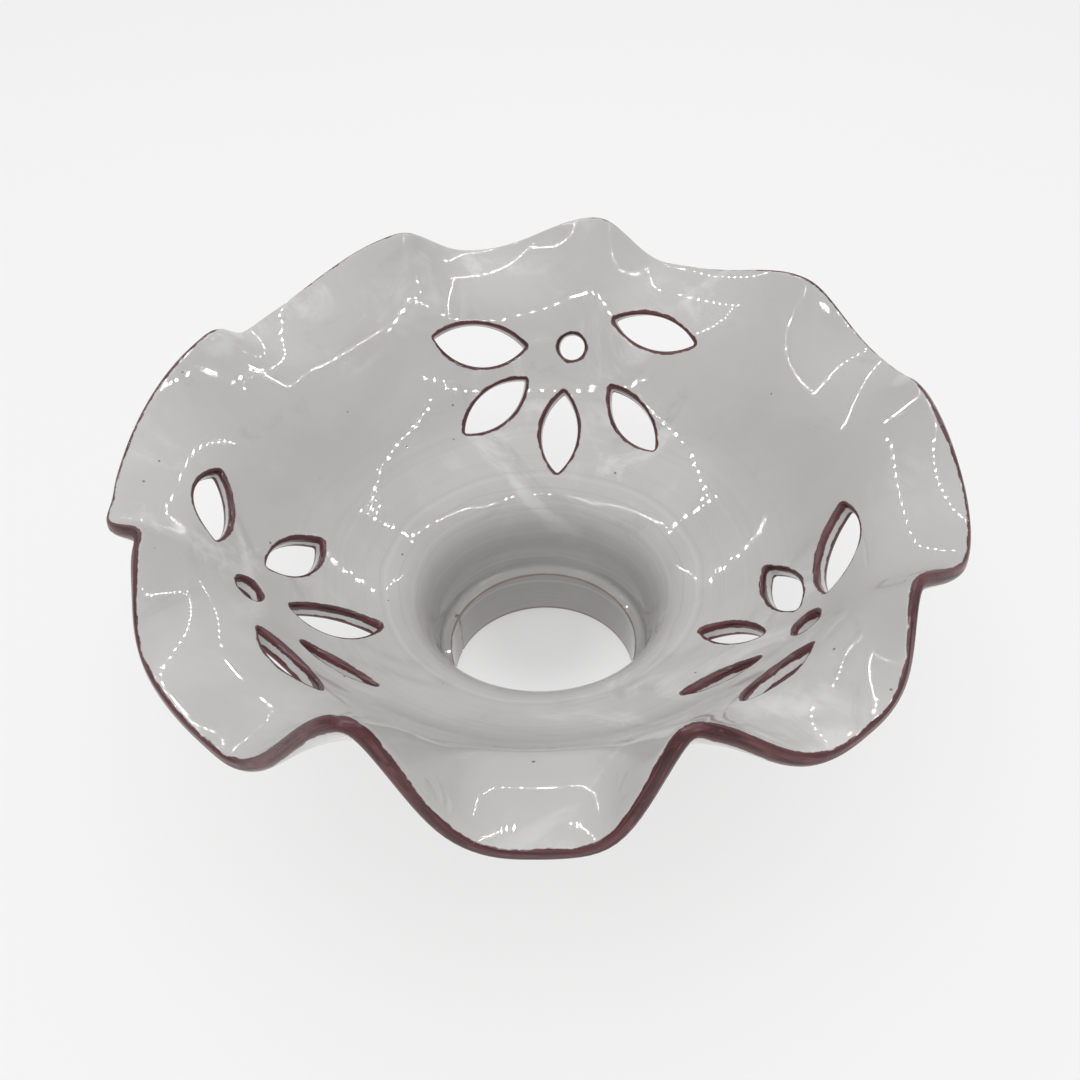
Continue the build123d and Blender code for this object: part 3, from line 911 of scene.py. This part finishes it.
def glaze(name):
    """White glaze with a maroon line brushed along rims and cut edges."""
    material, n = new_material(name)
    place = n.add("ShaderNodeTexCoord").outputs["Object"]
    brush, climb, bare = (n.attribute(label) for label in ("brush_mm", "climb_mm", "bare_mm"))

    # cloudy tone, pale wisps painted as soft reflections, thin spots, and painted shade darkening
    # the throat
    white = n.mix(n.patches(place, CLOUDS), tone(*GLAZE_TONE), tone(*PALE_GLAZE_TONE))
    # painted reflection: pale wisps, placed by noise, stand in for soft reflections in the glaze
    painted_sheen = n.times(n.times(n.patches(place, SHEEN_WISPS), n.patches(place, SHEEN_WISP_AREAS)), SHEEN_WISP_SHARE)
    white = n.mix(painted_sheen, white, tone(*SHEEN_WISP_TONE))
    thin = n.times(n.patches(place, THIN_GLAZE), THIN_SHARE)
    white = n.mix(thin, white, tone(*THIN_TONE))
    # painted shade: a darker tone towards the throat and inside the neck stands in for the shade
    # there
    white = n.mix(n.ramp(climb, *PAINTED_THROAT_SHADE), white, tone(*THROAT_SHADE_TONE))

    # faint rings from the wheel, stronger near the neck
    height = n.plus(climb, n.times(n.noise(place, RING_WAVE_SCALE), RING_WAVE))
    near_neck = n.ramp(climb, *RING_AREA)
    rings = n.times(n.minus(n.noise(n.line_of(height), *RING_TONES), 0.5), near_neck)
    white = n.mix(n.ramp(rings, *DARK_RINGS), white, tone(*DARK_RING_TONE))
    white = n.mix(n.ramp(rings, *PALE_RINGS), white, tone(*PALE_RING_TONE))

    # iron specks and pin holes
    specks = n.add("ShaderNodeTexVoronoi", Vector=place, Scale=SPECK_SCALE, Randomness=1.0)
    pick = n.add("ShaderNodeSeparateColor", Color=specks.outputs["Color"]).outputs[0]
    spot = n.times(n.ramp(pick, *SPECK_PICK), n.ramp(specks.outputs["Distance"], *SPECK_SIZE))
    white = n.mix(n.times(spot, SPECK_SHARE), white, tone(*IRON_TONE))

    # thin bare clay where the glaze pulled back from the seat's edges
    ragged = n.plus(bare, n.times(n.noise(place, BARE_WAVE_SCALE), BARE_WAVE))
    clay = n.ramp(ragged, *BARE_LINE)
    white = n.mix(n.times(clay, BARE_SHARE), white, tone(*CLAY_TONE))

    # brushed maroon line, with its wavy edge and the streaks of the brush
    wave = n.plus(n.swing(place, *EDGE_WAVE), n.swing(place, *SLOW_WAVE))
    inside, outside = BRUSH_HALF - BRUSH_SOFT_IN, BRUSH_HALF + BRUSH_SOFT_OUT
    line = n.ramp(n.plus(brush, wave), inside, outside, 1.0, 0.0)
    stroke = n.add("ShaderNodeVectorMath", {"operation": "MULTIPLY_ADD"}, i0=place,
                   i1=(STROKE_ALONG,) * 3, i2=n.line_of(n.times(brush, STROKE_ACROSS))).outputs[0]
    streak = n.patches(stroke, STREAKS)
    maroon = n.mix(streak, tone(*MAROON_TONE), tone(*THIN_MAROON_TONE))
    pale = n.times(n.patches(stroke, PALE_STREAKS), PALE_SHARE)
    colour = n.mix(line, white, n.mix(pale, maroon, tone(*PALE_MAROON_TONE)))

    # skin of the glaze: slow waves, fine ripple, rings, pits and the line's own thickness
    relief = n.plus(n.times(n.noise(place, *SLOW_RELIEF[1:]), SLOW_RELIEF[0]),
                    n.times(n.noise(place, *FINE_RELIEF[1:]), FINE_RELIEF[0]))
    turned_rings = n.times(n.noise(n.line_of(height), *RING_RELIEF[1:]), near_neck)
    relief = n.plus(relief, n.times(turned_rings, RING_RELIEF[0]))
    relief = n.minus(relief, n.times(spot, PIT_DEPTH))
    relief = n.minus(relief, n.times(line, n.times(streak, STREAK_DEPTH)))
    bump = n.add("ShaderNodeBump", Strength=BUMP_STRENGTH, Distance=1.0, Height=relief).outputs[0]

    rough = n.ramp(n.noise(place, SHINE_SCALE), *SHINE)
    rough = n.plus(rough, n.times(line, LINE_ROUGHER))
    rough = n.plus(rough, n.times(clay, CLAY_ROUGHER))
    shader = n.add("ShaderNodeBsdfPrincipled", Base_Color=colour, Roughness=rough, Normal=bump)
    shader.inputs["IOR"].default_value = GLAZE_IOR
    shader.inputs["Specular IOR Level"].default_value = 0.5
    return n.finish(shader, material)


def paper():
    """Pale lit studio paper, its glow dimmed round the neck as a painted shadow."""
    material, n = new_material("studio_paper")
    place = n.add("ShaderNodeTexCoord").outputs["Object"]
    colour = n.mix(n.noise(place, *PAPER_DRIFT), tone(*PAPER_TONE), tone(*PALE_PAPER_TONE))
    grain = n.times(n.noise(place, *PAPER_GRAIN), GRAIN_SHARE)
    colour = n.mix(grain, colour, tone(*GRAIN_TONE))
    shader = n.add("ShaderNodeBsdfPrincipled", Base_Color=colour, Roughness=PAPER_ROUGH)
    shader.inputs["Emission Color"].default_value = (1.0, 1.0, 1.0, 1.0)
    shader.inputs["Specular IOR Level"].default_value = PAPER_GLEAM
    # painted shadow: less glow near the neck
    from_neck = n.add("ShaderNodeVectorMath", {"operation": "DISTANCE"}, i0=place,
                      i1=(AXIS_X, AXIS_Y + SHADE_BACK, 0.0)).outputs["Value"]
    shaded = PAPER_GLOW * PAPER_SHADE
    glow = n.ramp(from_neck, PAPER_SHADE_NEAR, PAPER_SHADE_FAR, shaded, PAPER_GLOW)
    n.feed(shader, "Emission Strength", glow)
    return n.finish(shader, material)


# ---------------------------------------------------------------- build the object
skin = Skin()
face_grids = build_bowl(skin)
build_rim(skin, face_grids)
build_collar(skin, face_grids)
build_seat(skin)
stored = skin.joined()
every_group = [group for groups in skin.faces.values() for group in groups]
skin_normals = vertex_normals(stored[0], every_group)
finishes = {slot: glaze(slot) for slot in ("white_glaze", "maroon_glaze")}
for node, groups in sorted(skin.faces.items()):
    slot = "white_glaze" if node in ("bowl", "neck_collar", "seat_ring") else "maroon_glaze"
    piece = make_piece(node, groups, stored, skin_normals, finishes[slot])
    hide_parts(node)
    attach(piece, "root")


# ---------------------------------------------------------------- studio
def plain_mesh(name, corners, faces, material):
    """One staged object from its corners and faces."""
    mesh = bpy.data.meshes.new(name)
    mesh.from_pydata(corners, [], faces)
    mesh.materials.append(material)
    made = bpy.data.objects.new(name, mesh)
    bpy.context.scene.collection.objects.link(made)
    return made


SQUARE = ((-1, -1), (1, -1), (1, 1), (-1, 1))
paper_corners = [(x * PAPER_SIZE / 2, y * PAPER_SIZE / 2, PAPER_Z) for x, y in SQUARE]
floor = plain_mesh("floor", paper_corners, [(0, 1, 2, 3)], paper())
NECK_FOOT = Vector((AXIS_X, AXIS_Y, BASE_Z))


def soft_light(name, place, aim, width, height, watts, mirrored):
    """Large soft light at a place in metres from the neck, aimed at a point."""
    lamp = bpy.data.lights.new(name, "AREA")
    lamp.shape = "RECTANGLE"
    lamp.size, lamp.size_y = width, height
    lamp.energy = watts
    made = bpy.data.objects.new(name, lamp)
    made.location = NECK_FOOT + Vector(place)
    made.rotation_euler = (Vector(aim) - Vector(place)).to_track_quat("-Z", "Y").to_euler()
    made.visible_glossy = mirrored
    bpy.context.scene.collection.objects.link(made)
    return made


def lamp_bar(name, start, end, pitch, glow):
    """Row of small bright lamps between two places in metres from the neck, facing down."""
    start, end = Vector(start), Vector(end)
    count = int((end - start).length / pitch)
    corners, faces = [], []
    for number in range(count + 1):
        spot = NECK_FOOT + start.lerp(end, number / count)
        for dx, dy in ((-1, -1), (-1, 1), (1, 1), (1, -1)):
            corners.append(spot + Vector((dx, dy, 0)) * pitch * LAMP_SHARE / 2)
        faces.append(tuple(range(4 * number, 4 * number + 4)))
    made = plain_mesh(name, corners, faces, glow)
    made.visible_camera = False
    made.visible_diffuse = False


lamp_glow, glow_nodes = new_material("lamp_glow")
emit = glow_nodes.add("ShaderNodeEmission", Color=(1.0, 1.0, 1.0, 1.0), Strength=LAMP_GLOW)
glow_nodes.finish(emit, lamp_glow)
for number, (start, end, pitch) in enumerate(LAMP_BARS, start=1):
    lamp_bar(f"lamp_bar_{number}", start, end, pitch, lamp_glow)

world = bpy.data.worlds.new("studio_air")
world.use_nodes = True
world.node_tree.nodes["Background"].inputs[0].default_value = (1.0, 1.0, 1.0, 1.0)
world.node_tree.nodes["Background"].inputs[1].default_value = AIR_GLOW
bpy.context.scene.world = world
lights = [soft_light(*settings) for settings in SOFT_LIGHTS]

# ---------------------------------------------------------------- camera
camera_data = bpy.data.cameras.new("camera")
camera_data.sensor_width = CAMERA_FILM
camera_data.lens = CAMERA_LENS
camera = bpy.data.objects.new("camera", camera_data)
pitch, roll = math.radians(CAMERA_PITCH), math.radians(CAMERA_ROLL)
forward = Vector((0, math.cos(pitch), -math.sin(pitch)))
level = Vector((1, 0, 0))
upright = level.cross(forward)
right = level * math.cos(roll) + upright * math.sin(roll)
above = upright * math.cos(roll) - level * math.sin(roll)
turn = Matrix((right, above, -forward)).transposed().to_4x4()
place = NECK_FOOT + Vector((0, -CAMERA_BACK, CAMERA_UP))
camera.matrix_world = Matrix.Translation(place) @ turn
bpy.context.scene.collection.objects.link(camera)
bpy.context.scene.camera = camera
bpy.context.scene.view_settings.view_transform = "Standard"
